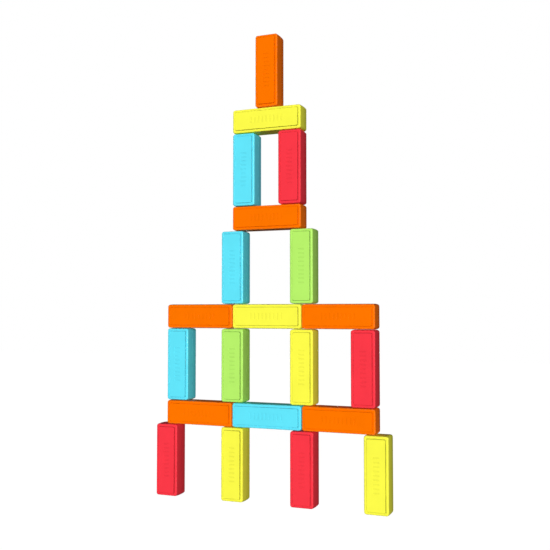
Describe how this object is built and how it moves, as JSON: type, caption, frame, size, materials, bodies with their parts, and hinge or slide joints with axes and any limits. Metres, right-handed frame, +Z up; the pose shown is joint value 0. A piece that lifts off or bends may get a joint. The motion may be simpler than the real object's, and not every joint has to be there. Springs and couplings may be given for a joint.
{
  "type": "giant tumbling tower",
  "caption": "Tall open lawn-game tower of hollow plastic blocks in bright colours, stacked upright and on their sides; the blocks slide out and the top block lifts off.",
  "frame": {"origin": "on the ground, at the middle of the tower's width and thickness", "axes": "+Z up; +X along the width of the tower, to the right seen from its front; +Y from the front to the back, through the thickness of the blocks"},
  "size_m": [0.6348, 0.0512, 1.2062],
  "materials": {
    "red_plastic": "satin",
    "yellow_plastic": "satin",
    "cyan_plastic": "satin",
    "orange_plastic": "satin",
    "lime_plastic": "satin"
  },
  "bodies": {
    "row_1_post_1": {"row_1_post_1_front_shell": "red_plastic", "row_1_post_1_rear_shell": "red_plastic"},
    "row_1_post_2": {"row_1_post_2_front_shell": "yellow_plastic", "row_1_post_2_rear_shell": "yellow_plastic"},
    "row_1_post_3": {"row_1_post_3_front_shell": "red_plastic", "row_1_post_3_rear_shell": "red_plastic"},
    "row_1_post_4": {"row_1_post_4_front_shell": "yellow_plastic", "row_1_post_4_rear_shell": "yellow_plastic"},
    "row_2_beam_1": {"row_2_beam_1_front_shell": "orange_plastic", "row_2_beam_1_rear_shell": "orange_plastic"},
    "row_2_beam_2": {"row_2_beam_2_front_shell": "cyan_plastic", "row_2_beam_2_rear_shell": "cyan_plastic"},
    "row_2_beam_3": {"row_2_beam_3_front_shell": "orange_plastic", "row_2_beam_3_rear_shell": "orange_plastic"},
    "row_3_post_1": {"row_3_post_1_front_shell": "cyan_plastic", "row_3_post_1_rear_shell": "cyan_plastic"},
    "row_3_post_2": {"row_3_post_2_front_shell": "lime_plastic", "row_3_post_2_rear_shell": "lime_plastic"},
    "row_3_post_3": {"row_3_post_3_front_shell": "yellow_plastic", "row_3_post_3_rear_shell": "yellow_plastic"},
    "row_3_post_4": {"row_3_post_4_front_shell": "red_plastic", "row_3_post_4_rear_shell": "red_plastic"},
    "row_4_beam_1": {"row_4_beam_1_front_shell": "orange_plastic", "row_4_beam_1_rear_shell": "orange_plastic"},
    "row_4_beam_2": {"row_4_beam_2_front_shell": "yellow_plastic", "row_4_beam_2_rear_shell": "yellow_plastic"},
    "row_4_beam_3": {"row_4_beam_3_front_shell": "orange_plastic", "row_4_beam_3_rear_shell": "orange_plastic"},
    "row_5_post_1": {"row_5_post_1_front_shell": "cyan_plastic", "row_5_post_1_rear_shell": "cyan_plastic"},
    "row_5_post_2": {"row_5_post_2_front_shell": "lime_plastic", "row_5_post_2_rear_shell": "lime_plastic"},
    "row_6_beam_1": {"row_6_beam_1_front_shell": "orange_plastic", "row_6_beam_1_rear_shell": "orange_plastic"},
    "row_7_post_1": {"row_7_post_1_front_shell": "cyan_plastic", "row_7_post_1_rear_shell": "cyan_plastic"},
    "row_7_post_2": {"row_7_post_2_front_shell": "red_plastic", "row_7_post_2_rear_shell": "red_plastic"},
    "row_8_beam_1": {"row_8_beam_1_front_shell": "yellow_plastic", "row_8_beam_1_rear_shell": "yellow_plastic"},
    "row_9_post_1": {"row_9_post_1_front_shell": "orange_plastic", "row_9_post_1_rear_shell": "orange_plastic"}
  },
  "joints": [
    {"name": "row_1_post_1_slide", "type": "slide", "parent": "row_1_post_2", "child": "row_1_post_1", "axis": [0, -1, 0], "range_m": [-0.06, 0.06]},
    {"name": "row_1_post_3_slide", "type": "slide", "parent": "row_1_post_2", "child": "row_1_post_3", "axis": [0, -1, 0], "range_m": [-0.06, 0.06]},
    {"name": "row_1_post_4_slide", "type": "slide", "parent": "row_1_post_2", "child": "row_1_post_4", "axis": [0, -1, 0], "range_m": [-0.06, 0.06]},
    {"name": "row_2_beam_1_slide", "type": "slide", "parent": "row_1_post_2", "child": "row_2_beam_1", "axis": [0, -1, 0], "range_m": [-0.06, 0.06]},
    {"name": "row_2_beam_2_slide", "type": "slide", "parent": "row_1_post_2", "child": "row_2_beam_2", "axis": [0, -1, 0], "range_m": [-0.06, 0.06]},
    {"name": "row_2_beam_3_slide", "type": "slide", "parent": "row_1_post_2", "child": "row_2_beam_3", "axis": [0, -1, 0], "range_m": [-0.06, 0.06]},
    {"name": "row_3_post_1_slide", "type": "slide", "parent": "row_1_post_2", "child": "row_3_post_1", "axis": [0, -1, 0], "range_m": [-0.06, 0.06]},
    {"name": "row_3_post_2_slide", "type": "slide", "parent": "row_1_post_2", "child": "row_3_post_2", "axis": [0, -1, 0], "range_m": [-0.06, 0.06]},
    {"name": "row_3_post_3_slide", "type": "slide", "parent": "row_1_post_2", "child": "row_3_post_3", "axis": [0, -1, 0], "range_m": [-0.06, 0.06]},
    {"name": "row_3_post_4_slide", "type": "slide", "parent": "row_1_post_2", "child": "row_3_post_4", "axis": [0, -1, 0], "range_m": [-0.06, 0.06]},
    {"name": "row_4_beam_1_slide", "type": "slide", "parent": "row_1_post_2", "child": "row_4_beam_1", "axis": [0, -1, 0], "range_m": [-0.06, 0.06]},
    {"name": "row_4_beam_2_slide", "type": "slide", "parent": "row_1_post_2", "child": "row_4_beam_2", "axis": [0, -1, 0], "range_m": [-0.06, 0.06]},
    {"name": "row_4_beam_3_slide", "type": "slide", "parent": "row_1_post_2", "child": "row_4_beam_3", "axis": [0, -1, 0], "range_m": [-0.06, 0.06]},
    {"name": "row_5_post_1_slide", "type": "slide", "parent": "row_1_post_2", "child": "row_5_post_1", "axis": [0, -1, 0], "range_m": [-0.06, 0.06]},
    {"name": "row_5_post_2_slide", "type": "slide", "parent": "row_1_post_2", "child": "row_5_post_2", "axis": [0, -1, 0], "range_m": [-0.06, 0.06]},
    {"name": "row_6_beam_1_slide", "type": "slide", "parent": "row_1_post_2", "child": "row_6_beam_1", "axis": [0, -1, 0], "range_m": [-0.06, 0.06]},
    {"name": "row_7_post_1_slide", "type": "slide", "parent": "row_1_post_2", "child": "row_7_post_1", "axis": [0, -1, 0], "range_m": [-0.06, 0.06]},
    {"name": "row_7_post_2_slide", "type": "slide", "parent": "row_1_post_2", "child": "row_7_post_2", "axis": [0, -1, 0], "range_m": [-0.06, 0.06]},
    {"name": "row_8_beam_1_slide", "type": "slide", "parent": "row_1_post_2", "child": "row_8_beam_1", "axis": [0, -1, 0], "range_m": [-0.06, 0.06]},
    {"name": "row_9_post_1_lift", "type": "slide", "parent": "row_1_post_2", "child": "row_9_post_1", "axis": [0, 0, 1], "range_m": [0, 0.2]}
  ]
}
